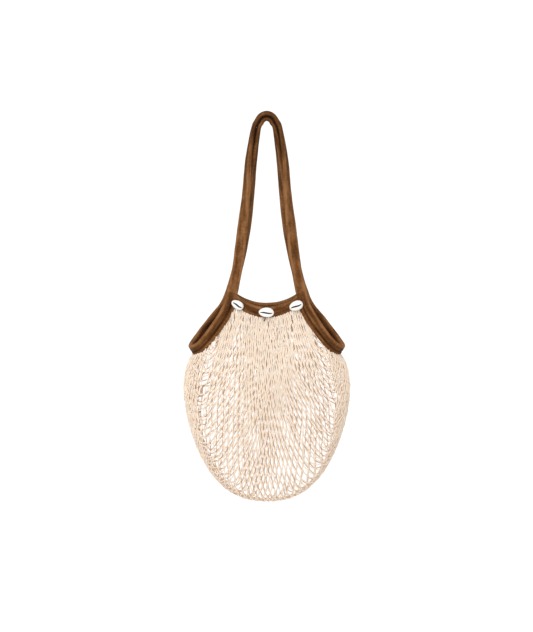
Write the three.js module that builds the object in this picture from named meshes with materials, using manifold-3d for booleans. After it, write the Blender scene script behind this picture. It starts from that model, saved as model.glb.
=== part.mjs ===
// A net market bag hanging by its two straps: a cream cotton net pouch, a mouth bound in folded
// brown tape, the same tape running on as a front and a back strap, and three cowrie shells sewn
// on the front collar. Millimetres, +Z up, +X to the wearer's view right, the front towards -Y.
// The origin is the point under the inner strap where the bag hangs on a hook or a shoulder.
import * as THREE from "three";
import { mergeVertices } from "three/addons/utils/BufferGeometryUtils.js";
import Module from "manifold-3d";

const DEGREE = Math.PI / 180;

// Driving dimensions
const CLEARANCE = 0.4; // gap between neighbouring pieces
const TAPE_THICKNESS = 4.6; // folded tape where it binds the net
const NET_THICKNESS = 1.6;
const SLOT = NET_THICKNESS + 2 * CLEARANCE; // room for the net inside the fold
const NET_TUCK = 5; // how deep the net's edge sits inside the fold
const NET_EXIT = 1.6; // the net hangs straight this far out of the fold
const GROOVE_DEPTH = 0.6; // stitched line along the tape
const GROOVE_HALF_WIDTH = 1.4;
const GROOVE_PLACE = 0.12; // towards the net, as a share of the tape's width

const BELLY_HALF_WIDTH = 116;
const BELLY_HALF_DEPTH = 60;
const BELLY_Z = -381.6;
const BOTTOM_Z = -540.6;
const BOTTOM_FALL = 1.6; // exponent of the fall from the belly to the bottom
const BOTTOM_ROUND = 0.4; // smaller is a flatter, squarer bottom
const FRONT_SWELL = 1.35; // how the net swells from the mouth to the belly; smaller swells sooner
const SIDE_SWELL = 0.5;
const BASE_SHARE = 0.22; // closed base of the net, as a share of the belly

const COLLAR_WIDTH = 15.4; // at its middle
const COLLAR_TAPER = 2.9; // how much narrower it is at its ends
const FRONT_RADIUS = 61; // curves of the sagging collars, seen from the front
const BACK_RADIUS = 74;
const COLLAR_Z = -267.4; // middle of a collar at its lowest
const COLLAR_Y = 15; // front and back collars stand this far from the middle plane
const COLLAR_REACH = 46; // half length, before its ends are trimmed to the side bindings
const COLLAR_BOUND = 35; // half length that holds the net
const COLLAR_LEAD = 5; // first step beyond it

const ARCH_CENTRE_Z = -6; // the straps bend over a hook about this height

// The tape of the front right quarter, from the top of the strap to the side of the mouth. Columns:
// place of the tape's middle; its width and thickness; the turn of its face (0 looks sideways or up,
// 90 looks to the front); nest, how far the back strap lies inside the front one; droop, how far a face
// that looks sideways is tipped down; splay and lift, how much further out and higher the back binding is.
// A thickness left out is the binding's, and any other column left out is 0.
const TAPE = [
  { name: "arch_top", x: 0, y: 0, z: 10, width: 12.5, thick: 6.2, turn: 0, nest: 6.7 },
  { name: "arch_side", x: 8, y: 0, z: 7.2, width: 12.5, thick: 6.2, turn: 0, nest: 6.7 },
  { name: "arch_foot", x: 13.9, y: -0.4, z: -0.6, width: 12.5, thick: 6.2, turn: 0, nest: 6.8 },
  { name: "leg_1", x: 18.7, y: -1, z: -12.6, width: 12.5, thick: 6.2, turn: 4, nest: 7 },
  { name: "leg_2", x: 25.6, y: -4.6, z: -56.5, width: 13.6, thick: 5.8, turn: 24, nest: 7.6 },
  { name: "leg_3", x: 28.8, y: -8.8, z: -102, width: 15.4, thick: 5.4, turn: 36, nest: 6.2 },
  { name: "leg_4", x: 33.8, y: -11.8, z: -147.6, width: 16.6, thick: 5, turn: 50, nest: 5.4 },
  { name: "leg_5", x: 39, y: -13.8, z: -193, width: 15.6, thick: 4.8, turn: 68, nest: 2 },
  { name: "leg_6", x: 43, y: -14.8, z: -215.6, width: 14.6, turn: 82, nest: 0.6 },
  { name: "seam", x: 48.6, y: -15, z: -240, width: 16.2, turn: 90, droop: 10 },
  { name: "slant_1", x: 55.4, y: -15.8, z: -264.6, width: 17.5, turn: 92, droop: 20, splay: 1.6, lift: 1.6 },
  { name: "slant_2", x: 72.6, y: -25.5, z: -290, width: 17, turn: 95, droop: 30, splay: 1.4, lift: 4 },
  { name: "slant_3", x: 89.8, y: -26.5, z: -311.4, width: 16.5, turn: 74, droop: 34, splay: 1.2, lift: 3.6 },
  { name: "corner", x: 100.8, y: -15.5, z: -320.6, width: 16, turn: 36, droop: 32, splay: 0.4, lift: 1.2 },
  { name: "tip", x: 104.8, y: 0, z: -323.2, width: 16, turn: 0, droop: 30 },
];

// The net is a lattice of diamonds: columns run round the mouth, half rows run down to the base.
const COLUMNS = 12;
const HALF_ROWS = 10;
const RIM_STEPS = 6; // steps along the mouth in one column
const EDGE_STEPS = 2; // steps along one side of a diamond
const GAP_SHARE = 0.8; // open share of a diamond, across
const EDGE_GAP_SHARE = 0.6; // open share of the half diamonds under the mouth
const EDGE_GAP_ROW = 0.4; // where those half diamonds have their middle, in half rows
const COLLAR_STEPS = 10;
const SIDE_STEPS = 24;

// Cowrie shells on the front collar: middle, size, tilt of the slit in degrees, and seat off the collar.
const SHELLS = [
  { name: "shell_left", x: -41, z: -256.2, length: 18.5, width: 12.4, tilt: -31, seat: 0.9 },
  { name: "shell_middle", x: -0.7, z: -267.1, length: 21.6, width: 13.8, tilt: -3, seat: 0.3 },
  { name: "shell_right", x: 40.9, z: -257.6, length: 20, width: 14.2, tilt: 22, seat: 0.9 },
];
const SHELL_HEIGHT = 6.4;
const COLLAR_FACE_Y = -(COLLAR_Y + TAPE_THICKNESS / 2);

const COTTON = new THREE.MeshStandardMaterial({ color: 0xf2e2cf, roughness: 0.9, metalness: 0 });
const KNIT = new THREE.MeshStandardMaterial({ color: 0x70451f, roughness: 0.85, metalness: 0 });
const PORCELAIN = new THREE.MeshStandardMaterial({ color: 0xf8f6f1, roughness: 0.25, metalness: 0 });

const wasm = await Module();
wasm.setup();
const bag = new THREE.Group();

function addPiece(name, geometry, material) {
  const mesh = new THREE.Mesh(geometry, material);
  mesh.name = name;
  bag.add(mesh);
  return mesh;
}

function geometryOf(positions, triangles) {
  const geometry = new THREE.BufferGeometry();
  geometry.setAttribute("position", new THREE.Float32BufferAttribute(positions.flat(), 3));
  geometry.setIndex(triangles.flat());
  return geometry;
}

function solidOf(geometry) {
  const bare = geometry.clone();
  bare.deleteAttribute("normal");
  bare.deleteAttribute("uv");
  const merged = mergeVertices(bare, 1e-4);
  return new wasm.Manifold(
    new wasm.Mesh({
      numProp: 3,
      vertProperties: new Float32Array(merged.attributes.position.array),
      triVerts: new Uint32Array(merged.index.array),
    }),
  );
}

function geometryFromSolid(solid) {
  const mesh = solid.getMesh();
  const geometry = new THREE.BufferGeometry();
  geometry.setAttribute("position", new THREE.BufferAttribute(new Float32Array(mesh.vertProperties), 3));
  geometry.setIndex(new THREE.BufferAttribute(new Uint32Array(mesh.triVerts), 1));
  return geometry;
}

// Tape loop: front strap, right side, back strap and left side, one closed curve through the table.

const QUARTER = TAPE.length - 1;
const rowIndex = (name) => TAPE.findIndex((row) => row.name === name);
const LOOP = 4 * QUARTER; // loop places run from 0 (top of the front strap) to LOOP
const SEAM = rowIndex("seam");
const TIP_RIGHT = QUARTER;
const TOP_BACK = 2 * QUARTER;
const TIP_LEFT = 3 * QUARTER;

// The way out from the hook, over the arch and down the legs, tipped down by a droop in radians.
const radialAt = (x, z, droop = 0) => {
  const rise = Math.max(0, z - ARCH_CENTRE_Z);
  const across = rise > 0 ? x : Math.sign(x);
  return new THREE.Vector3(across, 0, rise - Math.abs(across) * Math.tan(droop)).normalize();
};

// The table row and the side it is on, for a whole-number loop place.
function loopRow(place) {
  const quarter = Math.floor(place / QUARTER) % 4;
  const step = place % QUARTER;
  const back = quarter === 1 || quarter === 2;
  const right = quarter < 2;
  const stated = TAPE[quarter % 2 === 0 ? step : QUARTER - step];
  const row = { thick: TAPE_THICKNESS, nest: 0, droop: 0, splay: 0, lift: 0, ...stated };
  return { row, side: right ? 1 : -1, face: back ? 1 : -1 };
}

function loopPoint(place) {
  const { row, side, face } = loopRow(place);
  const point = new THREE.Vector3(row.x * side, -row.y * face, row.z);
  if (face < 0) return point;
  point.addScaledVector(radialAt(point.x, point.z), -row.nest);
  point.x += row.splay * side;
  point.z += row.lift;
  return point;
}

function loopCurves() {
  const places = Array.from({ length: LOOP }, (_, place) => place);
  const rows = places.map((place) => loopRow(place).row);
  const curve = (points) => new THREE.CatmullRomCurve3(points, true, "catmullrom", 0.5);
  return {
    path: curve(places.map(loopPoint)),
    sizes: curve(rows.map(({ width, thick }) => new THREE.Vector3(width, thick, 0))),
    faces: curve(rows.map(({ turn, droop }) => new THREE.Vector3(turn, droop, 0).multiplyScalar(DEGREE))),
  };
}
const loop = loopCurves();

// A tape frame: its middle, the way to the net, its outward face, and its sizes.
function frameFrom(middle, along, outwardHint, width, thick) {
  const outward = outwardHint.clone().addScaledVector(along, -outwardHint.dot(along)).normalize();
  const inward = new THREE.Vector3().crossVectors(along, outward);
  return { middle, inward, outward, width, thick };
}

function loopFrame(place) {
  const share = (((place % LOOP) + LOOP) % LOOP) / LOOP;
  const middle = loop.path.getPoint(share);
  const [width, thick] = loop.sizes.getPoint(share).toArray();
  const [turn, droop] = loop.faces.getPoint(share).toArray();
  const face = share > 0.25 && share < 0.75 ? 1 : -1;
  const hint = radialAt(middle.x, middle.z, droop).multiplyScalar(Math.cos(turn));
  hint.y += face * Math.sin(turn);
  return frameFrom(middle, loop.path.getTangent(share), hint, width, thick);
}

// A collar frame at a distance across the bag; the front collar runs to the right, the back one left.
function collarFrame(x, face) {
  const radius = face > 0 ? BACK_RADIUS : FRONT_RADIUS;
  const lean = Math.asin(x / radius);
  const z = COLLAR_Z + radius * (1 - Math.cos(lean));
  const width = COLLAR_WIDTH - COLLAR_TAPER * (x / COLLAR_REACH) ** 2;
  const along = new THREE.Vector3(-face * Math.cos(lean), 0, -face * Math.sin(lean));
  const middle = new THREE.Vector3(x, face * COLLAR_Y, z);
  return frameFrom(middle, along, new THREE.Vector3(0, face, 0), width, TAPE_THICKNESS);
}

// Tape sections. Each point is [towards the net, outwards].
function stitchedGroove(at, thick) {
  return [
    [at + GROOVE_HALF_WIDTH, thick / 2],
    [at, thick / 2 - GROOVE_DEPTH],
    [at - GROOVE_HALF_WIDTH, thick / 2],
  ];
}

function bindingSection({ width, thick }) {
  const lip = width / 2;
  const slotEnd = lip - NET_TUCK - CLEARANCE;
  return [
    [lip, thick / 2],
    ...stitchedGroove(width * GROOVE_PLACE, thick),
    [-lip + thick / 2, thick / 2],
    [-lip, thick / 5],
    [-lip, -thick / 5],
    [-lip + thick / 2, -thick / 2],
    [lip, -thick / 2],
    [lip, -SLOT / 2],
    [slotEnd, -SLOT / 2],
    [slotEnd, SLOT / 2],
    [lip, SLOT / 2],
  ];
}

function strapSection({ width, thick }) {
  const edge = width / 2;
  const flat = edge - thick / 3;
  return [
    [edge, thick / 5],
    [flat, thick / 2],
    [-flat, thick / 2],
    [-edge, thick / 5],
    [-edge, -thick / 5],
    [-flat, -thick / 2],
    [flat, -thick / 2],
    [edge, -thick / 5],
  ];
}

// A closed solid lofted through sections placed on tape frames.
function loft(frames, sectionOf) {
  const outlines = frames.map(sectionOf);
  const count = outlines[0].length;
  const positions = [];
  frames.forEach(({ middle, inward, outward }, i) => {
    for (const [a, b] of outlines[i]) {
      const point = middle.clone().addScaledVector(inward, a).addScaledVector(outward, b);
      positions.push(point.toArray());
    }
  });
  const triangles = [];
  for (let i = 0; i + 1 < frames.length; i += 1) {
    for (let j = 0; j < count; j += 1) {
      const next = (j + 1) % count;
      const [a, b, c, d] = [i * count + j, i * count + next, (i + 1) * count + next, (i + 1) * count + j];
      triangles.push([a, c, b], [a, d, c]);
    }
  }
  const last = (frames.length - 1) * count;
  const cap = (outline) =>
    THREE.ShapeUtils.triangulateShape(outline.map(([a, b]) => new THREE.Vector2(a, b)), []);
  cap(outlines[0]).forEach(([a, b, c]) => triangles.push([a, b, c]));
  cap(outlines.at(-1)).forEach(([a, b, c]) => triangles.push([last + a, last + c, last + b]));
  return geometryOf(positions, triangles);
}

const spread = (from, to, steps) =>
  Array.from({ length: steps + 1 }, (_, i) => from + ((to - from) * i) / steps);

// Places along a side binding where the net is bound, and the free ends up to the strap seams.
const BOUND_FROM_SEAM = 0.85;
const SEAM_GAP = 0.008; // loop places between a strap's end and the binding's end

function sidePlaces(tip) {
  const half = QUARTER - SEAM;
  return {
    bound: spread(tip - half + BOUND_FROM_SEAM, tip + half - BOUND_FROM_SEAM, SIDE_STEPS),
    start: tip - half + SEAM_GAP,
    end: tip + half - SEAM_GAP,
  };
}

const LEAD_STEPS = 3; // steps between a strap seam and the bound net

function sideFrames(tip) {
  const { bound, start, end } = sidePlaces(tip);
  const lead = spread(start, bound[0], LEAD_STEPS).slice(0, -1);
  const trail = spread(bound.at(-1), end, LEAD_STEPS).slice(1);
  return [...lead, ...bound, ...trail].map(loopFrame);
}

function addSideBinding(name, tip) {
  addPiece(name, loft(sideFrames(tip), bindingSection), KNIT);
}

const STRAP_STEPS_PER_ROW = 2.1;

function addStrap(name, top) {
  const reach = SEAM - SEAM_GAP;
  const steps = Math.round(2 * SEAM * STRAP_STEPS_PER_ROW);
  const frames = spread(top - reach, top + reach, steps).map(loopFrame);
  addPiece(name, loft(frames, strapSection), KNIT);
}

// The collars' ends are trimmed to the edge of the side bindings, which run past them as straps.
const collarPlaces = () => spread(-COLLAR_BOUND, COLLAR_BOUND, COLLAR_STEPS);

function sideBindingRoom(tip) {
  const room = ({ width, thick }) => {
    const [a, b] = [width / 2 + CLEARANCE, thick];
    return [[a, b], [-a, b], [-a, -b], [a, -b]];
  };
  const half = QUARTER - SEAM;
  const frames = [loopFrame(tip - half - 1), ...sideFrames(tip), loopFrame(tip + half + 1)];
  return solidOf(loft(frames, room));
}

function addCollar(name, face) {
  const ends = [COLLAR_BOUND + COLLAR_LEAD, COLLAR_REACH];
  const places = [-ends[1], -ends[0], ...collarPlaces(), ...ends].map((x) => -face * x);
  const frames = places.map((x) => collarFrame(x, face));
  let band = solidOf(loft(frames, bindingSection));
  for (const tip of [TIP_RIGHT, TIP_LEFT]) band = band.subtract(sideBindingRoom(tip));
  const pieces = band.decompose().sort((a, b) => b.volume() - a.volume());
  addPiece(name, geometryFromSolid(pieces[0]), KNIT);
}

// Net pouch. The mouth stations follow the bindings: front collar, right side, back collar, left side.

function mouthStations() {
  const front = collarPlaces().map((x) => collarFrame(x, -1));
  const right = sidePlaces(TIP_RIGHT).bound.map(loopFrame);
  const back = collarPlaces().map((x) => collarFrame(-x, 1));
  const left = sidePlaces(TIP_LEFT).bound.map(loopFrame);
  const all = [...front, ...right, ...back, ...left];
  const frontMiddle = COLLAR_STEPS / 2;
  return [...all.slice(frontMiddle), ...all.slice(0, frontMiddle)];
}
const stations = mouthStations();

const wrapped = (value, size) => ((value % size) + size) % size;

// A value between two neighbouring mouth stations.
function alongMouth(column, read) {
  const place = wrapped(column * RIM_STEPS, stations.length);
  const from = Math.floor(place + 1e-9) % stations.length;
  const to = (from + 1) % stations.length;
  const share = Math.max(0, place - Math.floor(place + 1e-9));
  return read(stations[from]).lerp(read(stations[to]), share);
}

const atLip = (depth) => (frame) =>
  frame.middle.clone().addScaledVector(frame.inward, frame.width / 2 + depth);
const mouthTop = (column) => alongMouth(column, atLip(-NET_TUCK));
const mouthExit = (column) => alongMouth(column, atLip(NET_EXIT));
const mouthOutward = (column) => alongMouth(column, (frame) => frame.outward.clone()).normalize();

// Where a column crosses the belly: equal steps of arc round the belly's oval.
const belly = new THREE.EllipseCurve(0, 0, BELLY_HALF_WIDTH, BELLY_HALF_DEPTH, -Math.PI / 2, 1.5 * Math.PI);
belly.arcLengthDivisions = 720;
const bellyPoint = (column) => belly.getPointAt(wrapped(column, COLUMNS) / COLUMNS);

// The fall of a column, from the binding over the belly to the base, as evenly spaced points.
const FALL_STEPS = 24;
const FALL_START = 1.5; // closer points under the binding, where the net bends most
const baseDrop = (1 - BASE_SHARE ** (1 / BOTTOM_ROUND)) ** (1 / BOTTOM_FALL);

function fallCurve(column) {
  const top = mouthExit(column);
  const wide = bellyPoint(column);
  const sideways = Math.abs(wide.x) / BELLY_HALF_WIDTH;
  const fullness = THREE.MathUtils.lerp(FRONT_SWELL, SIDE_SWELL, sideways ** 2);
  const points = spread(0, 1, FALL_STEPS).map((step) => {
    const share = step ** FALL_START;
    const swell = (1 - (1 - share) ** 2) ** fullness;
    return new THREE.Vector3(
      top.x + (wide.x - top.x) * swell,
      top.y + (wide.y - top.y) * swell,
      top.z + (BELLY_Z - top.z) * share,
    );
  });
  for (const share of spread(0, 1, FALL_STEPS).slice(1)) {
    const drop = baseDrop * Math.sin((share * Math.PI) / 2);
    const shrink = (1 - drop ** BOTTOM_FALL) ** BOTTOM_ROUND;
    points.push(new THREE.Vector3(wide.x * shrink, wide.y * shrink, BELLY_Z + (BOTTOM_Z - BELLY_Z) * drop));
  }
  return new THREE.CatmullRomCurve3(points);
}

const fallCache = new Map();
function netPoint(column, halfRow) {
  const key = wrapped(column, COLUMNS).toFixed(4);
  if (!fallCache.has(key)) fallCache.set(key, fallCurve(Number(key)));
  return fallCache.get(key).getPointAt(THREE.MathUtils.clamp(halfRow / HALF_ROWS, 0, 1));
}

const PROBE = 0.05;
function netOutward(column, halfRow) {
  if (halfRow <= 0) return mouthOutward(column);
  const down = netPoint(column, halfRow + PROBE).sub(netPoint(column, halfRow - PROBE));
  const round = netPoint(column + PROBE, halfRow).sub(netPoint(column - PROBE, halfRow));
  return down.cross(round).normalize();
}

function addNet() {
  const positions = [];
  const triangles = [];
  const known = new Map();

  // A pair of vertices, outside and inside, at a place of the net.
  function pair(column, halfRow) {
    const key = wrapped(column, COLUMNS).toFixed(4) + "/" + halfRow.toFixed(4);
    if (!known.has(key)) {
      const middle = halfRow < 0 ? mouthTop(column) : netPoint(column, halfRow);
      const outward = netOutward(column, halfRow);
      known.set(key, positions.length);
      for (const sign of [0.5, -0.5]) {
        positions.push(middle.clone().addScaledVector(outward, sign * NET_THICKNESS).toArray());
      }
    }
    return known.get(key);
  }
  const bothFaces = (a, b, c) => triangles.push([a, b, c], [a + 1, c + 1, b + 1]);
  const wall = (a, b) => triangles.push([a, b, b + 1], [a, b + 1, a + 1]);

  // A cell's outline, run anticlockwise seen from outside, with each side split into steps.
  function outline(corners, steps) {
    return corners.flatMap(([c0, r0], i) => {
      const [c1, r1] = corners[(i + 1) % corners.length];
      return spread(0, 1, steps[i]).slice(0, -1).map((s) => [c0 + (c1 - c0) * s, r0 + (r1 - r0) * s]);
    });
  }

  function openCell(edge, [c0, r0], share) {
    const hole = edge.map(([c, r]) => [c0 + (c - c0) * share, r0 + (r - r0) * share]);
    const rim = edge.map(([c, r]) => pair(c, r));
    const gap = hole.map(([c, r]) => pair(c, r));
    rim.forEach((start, i) => {
      const next = (i + 1) % rim.length;
      bothFaces(start, rim[next], gap[next]);
      bothFaces(start, gap[next], gap[i]);
      wall(gap[i], gap[next]);
    });
  }

  for (let row = 0; row < HALF_ROWS; row += 1) {
    for (let i = 0; i < COLUMNS; i += 1) {
      const c = i + (row % 2) / 2;
      const [left, right] = [c - 0.5, c + 0.5];
      if (row === 0) {
        const edge = outline([[right, 0], [left, 0], [c, 1]], [RIM_STEPS, EDGE_STEPS, EDGE_STEPS]);
        openCell(edge, [c, EDGE_GAP_ROW], EDGE_GAP_SHARE);
      } else {
        const corners = [[c, row - 1], [left, row], [c, row + 1], [right, row]];
        openCell(outline(corners, corners.map(() => EDGE_STEPS)), [c, row], GAP_SHARE);
      }
    }
  }

  // The tucked rim inside the bindings.
  stations.forEach((_, k) => {
    const [c0, c1] = [k / RIM_STEPS, (k + 1) / RIM_STEPS];
    const [topLeft, topRight] = [pair(c0, -1), pair(c1, -1)];
    const [lowLeft, lowRight] = [pair(c0, 0), pair(c1, 0)];
    bothFaces(topLeft, lowLeft, lowRight);
    bothFaces(topLeft, lowRight, topRight);
    wall(topLeft, topRight);
  });

  // The closed base.
  const pole = positions.length;
  for (const sign of [-0.5, 0.5]) positions.push([0, 0, BOTTOM_Z + sign * NET_THICKNESS]);
  for (let i = 0; i < COLUMNS; i += 1) {
    const corners = [[i, HALF_ROWS - 1], [i - 0.5, HALF_ROWS], [i + 0.5, HALF_ROWS]];
    const edge = outline(corners, [EDGE_STEPS, 1, EDGE_STEPS]);
    const rim = edge.map(([c, r]) => pair(c, r));
    for (let j = 1; j + 1 < rim.length; j += 1) bothFaces(rim[0], rim[j], rim[j + 1]);
    bothFaces(pole, pair(i + 0.5, HALF_ROWS), pair(i - 0.5, HALF_ROWS));
  }
  addPiece("net_body", geometryOf(positions, triangles), COTTON);
}

// Cowrie shells: an egg-shaped dome with a toothed slit along it.
const SHELL_ROUND = 20; // points round the shell
const EGG_SHARE = 0.1; // how much one end is fuller
const SHELL_RINGS = [
  { out: 0.9, up: 0 },
  { out: 1, up: 0.28 },
  { out: 0.93, up: 0.62 },
  { out: 0.72, up: 0.87 },
  { out: 0.4, up: 0.98 },
];
const SLIT_LENGTH_SHARE = 0.76;
const SLIT_HALF_WIDTH = 0.75;
const SLIT_TAPER = 0.8; // how much it narrows at its ends
const SLIT_DEPTH = 2.6;
const SLIT_BEND = 0.5;
const SLIT_TEETH = 9;
const TOOTH = 0.28;

function shellDome(length, width) {
  const egg = (angle) => {
    const fuller = 1 + EGG_SHARE * Math.cos(angle);
    return [(length / 2) * Math.cos(angle), (width / 2) * Math.sin(angle) * fuller];
  };
  const positions = [[0, 0, 0]];
  const triangles = [];
  SHELL_RINGS.forEach(({ out, up }) => {
    for (let i = 0; i < SHELL_ROUND; i += 1) {
      const [x, y] = egg((2 * Math.PI * i) / SHELL_ROUND);
      positions.push([x * out, y * out, up * SHELL_HEIGHT]);
    }
  });
  const crown = positions.length;
  positions.push([0, 0, SHELL_HEIGHT]);
  for (let i = 0; i < SHELL_ROUND; i += 1) {
    const next = (i + 1) % SHELL_ROUND;
    triangles.push([0, 1 + next, 1 + i]);
    for (let ring = 0; ring + 1 < SHELL_RINGS.length; ring += 1) {
      const [a, b] = [1 + ring * SHELL_ROUND + i, 1 + ring * SHELL_ROUND + next];
      triangles.push([a, b, b + SHELL_ROUND], [a, b + SHELL_ROUND, a + SHELL_ROUND]);
    }
    const top = crown - SHELL_ROUND;
    triangles.push([top + i, top + next, crown]);
  }
  return geometryOf(positions, triangles);
}

function shellSlit(length) {
  const half = (length * SLIT_LENGTH_SHARE) / 2;
  const steps = 2 * SLIT_TEETH;
  const side = (sign) =>
    spread(-1, 1, steps).map((share, i) => {
      const bow = SLIT_BEND * Math.sin(share * Math.PI);
      const open = SLIT_HALF_WIDTH * Math.sqrt(1 - SLIT_TAPER * share * share) - (i % 2) * TOOTH;
      return new THREE.Vector2(share * half, bow + sign * open);
    });
  const shape = new THREE.Shape([...side(-1), ...side(1).reverse()]);
  const cutter = new THREE.ExtrudeGeometry(shape, { depth: SHELL_HEIGHT, bevelEnabled: false });
  return cutter.translate(0, 0, SHELL_HEIGHT - SLIT_DEPTH);
}

function addShell({ name, x, z, length, width, tilt, seat }) {
  const solid = solidOf(shellDome(length, width)).subtract(solidOf(shellSlit(length)));
  const shell = addPiece(name, geometryFromSolid(solid), PORCELAIN);
  shell.rotation.set(Math.PI / 2, 0, 0);
  shell.rotateZ(tilt * DEGREE);
  shell.position.set(x, COLLAR_FACE_Y - seat, z);
}

addNet();
addCollar("collar_front", -1);
addCollar("collar_back", 1);
addSideBinding("side_binding_right", TIP_RIGHT);
addSideBinding("side_binding_left", TIP_LEFT);
addStrap("strap_front", 0);
addStrap("strap_back", TOP_BACK);
SHELLS.forEach(addShell);

export default bag;
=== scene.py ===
import math

import bpy
import numpy as np
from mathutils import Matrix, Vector
from mathutils.bvhtree import BVHTree


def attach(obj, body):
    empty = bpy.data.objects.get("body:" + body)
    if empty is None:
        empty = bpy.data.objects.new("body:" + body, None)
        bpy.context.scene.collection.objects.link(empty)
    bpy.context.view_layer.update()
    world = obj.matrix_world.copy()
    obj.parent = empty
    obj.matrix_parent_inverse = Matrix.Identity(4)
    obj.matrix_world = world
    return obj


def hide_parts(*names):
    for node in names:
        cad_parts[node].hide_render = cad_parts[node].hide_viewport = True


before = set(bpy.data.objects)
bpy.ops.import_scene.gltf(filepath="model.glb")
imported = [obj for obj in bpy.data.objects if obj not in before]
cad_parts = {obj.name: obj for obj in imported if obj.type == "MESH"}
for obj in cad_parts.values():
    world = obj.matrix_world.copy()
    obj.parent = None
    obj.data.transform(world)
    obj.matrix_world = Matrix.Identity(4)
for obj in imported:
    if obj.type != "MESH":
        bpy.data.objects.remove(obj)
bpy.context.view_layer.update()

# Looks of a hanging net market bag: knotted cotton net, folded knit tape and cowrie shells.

MM = 0.001  # metres in a millimetre, the unit of the lengths below
TAU = 2 * math.pi
rng = np.random.default_rng(11)

# The photograph's frame and view.
IMAGE_WIDTH, IMAGE_HEIGHT = 533, 632
MM_PER_PIXEL = 1.4
HANG_PIXEL = (266.8, 122.7)  # where the hang point shows in the photograph
VIEW_ELEVATION = math.radians(11)
VIEW_DISTANCE = 5000
SENSOR = 36

# The tape in the front right quarter, from the top of the strap to the side of the mouth, as in the solids.
# Turn is in degrees from facing sideways to facing forwards, and droop tips sideways faces down by degrees.
# Nest is how far the back strap lies inside the front one. Splay and lift move the back binding out and up.
TAPE_COLUMNS = "x y z width thick turn nest droop splay lift".split()
TAPE_ROWS = [
    (0, 0, 10, 12.5, 6.2, 0, 6.7, 0, 0, 0),
    (8, 0, 7.2, 12.5, 6.2, 0, 6.7, 0, 0, 0),
    (13.9, -0.4, -0.6, 12.5, 6.2, 0, 6.8, 0, 0, 0),
    (18.7, -1, -12.6, 12.5, 6.2, 4, 7, 0, 0, 0),
    (25.6, -4.6, -56.5, 13.6, 5.8, 24, 7.6, 0, 0, 0),
    (28.8, -8.8, -102, 15.4, 5.4, 36, 6.2, 0, 0, 0),
    (33.8, -11.8, -147.6, 16.6, 5, 50, 5.4, 0, 0, 0),
    (39, -13.8, -193, 15.6, 4.8, 68, 2, 0, 0, 0),
    (43, -14.8, -215.6, 14.6, 4.6, 82, 0.6, 0, 0, 0),
    (48.6, -15, -240, 16.2, 4.6, 90, 0, 10, 0, 0),
    (55.4, -15.8, -264.6, 17.5, 4.6, 92, 0, 20, 1.6, 1.6),
    (72.6, -25.5, -290, 17, 4.6, 95, 0, 30, 1.4, 4),
    (89.8, -26.5, -311.4, 16.5, 4.6, 74, 0, 34, 1.2, 3.6),
    (100.8, -15.5, -320.6, 16, 4.6, 36, 0, 32, 0.4, 1.2),
    (104.8, 0, -323.2, 16, 4.6, 0, 0, 30, 0, 0),
]
SEAM_ROW = 9  # the row where the side binding becomes a strap
ARCH_CENTRE_Z = -6  # the straps bend over a hook about this height

COLLAR_WIDTH = 15.4  # at its middle
COLLAR_TAPER = 2.9  # narrower by this at its ends
COLLAR_REACH = 46  # half length
COLLAR_THICK = 4.6
FRONT_RADIUS = 61  # of the sagging collars, seen from the front
BACK_RADIUS = 74
COLLAR_Z = -267.4  # middle of a collar at its lowest
COLLAR_Y = 15  # from the middle plane
COLLAR_BOUND = 35  # half length that holds the net

BELLY_HALF_WIDTH = 116
BELLY_HALF_DEPTH = 60
BELLY_Z = -381.6
BOTTOM_Z = -540.6
UPPER_FALL = 1.3  # exponent of the fall from the mouth to the belly
BOTTOM_FALL = 1.6  # larger narrows later below the belly
BOTTOM_ROUND = 0.4  # smaller is a flatter, squarer bottom
FRONT_SWELL = 1.35  # smaller swells sooner from the mouth to the belly
SIDE_SWELL = 0.5
NET_EXIT = 1.6  # from the binding's lip to where the pouch's form begins

# Cowries on the front collar. Tilt is in degrees, and seat is the rim's gap to the collar's solid.
SHELLS = [
    dict(name="shell_left", x=-41, z=-256.2, length=18.5, width=12.4, tilt=-31, seat=0.9),
    dict(name="shell_middle", x=-0.7, z=-267.1, length=21.6, width=13.8, tilt=-3, seat=0.3),
    dict(name="shell_right", x=40.9, z=-257.6, length=20, width=14.2, tilt=22, seat=0.9),
]
SHELL_HEIGHT = 6.4


def unit(vectors):
    return vectors / np.linalg.norm(vectors, axis=-1, keepdims=True)


def dot(a, b):
    return np.sum(a * b, axis=-1, keepdims=True)


def eased(value):
    share = np.clip(value, 0, 1)
    return share * share * (3 - 2 * share)


def bell(value):
    return np.exp(-(value**2))


def path_lengths(points):
    """Lengths along paths, up to each of their points."""
    steps = np.linalg.norm(np.diff(points, axis=-2), axis=-1)
    return np.concatenate([np.zeros((*steps.shape[:-1], 1)), np.cumsum(steps, axis=-1)], axis=-1)


def grid_cells(rows, columns):
    i, j = np.meshgrid(np.arange(rows), np.arange(columns), indexing="ij")
    return i.ravel(), j.ravel()


# Tape loop: front strap, right side, back strap and left side as one closed curve.

QUARTER = len(TAPE_ROWS) - 1
LOOP = 4 * QUARTER
TIP_RIGHT, TOP_BACK, TIP_LEFT = QUARTER, 2 * QUARTER, 3 * QUARTER
HALF_SIDE = QUARTER - SEAM_ROW  # loop places from a seam to the side's tip


def radial(points, droop):
    """The way out from the hook, over the arch and down the legs, tipped down by a droop."""
    rise = np.maximum(0, points[:, 2] - ARCH_CENTRE_Z)
    across = np.where(rise > 0, points[:, 0], np.sign(points[:, 0]))
    down = np.abs(across) * np.tan(droop)
    return unit(np.stack([across, np.zeros_like(across), rise - down], axis=1))


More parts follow.
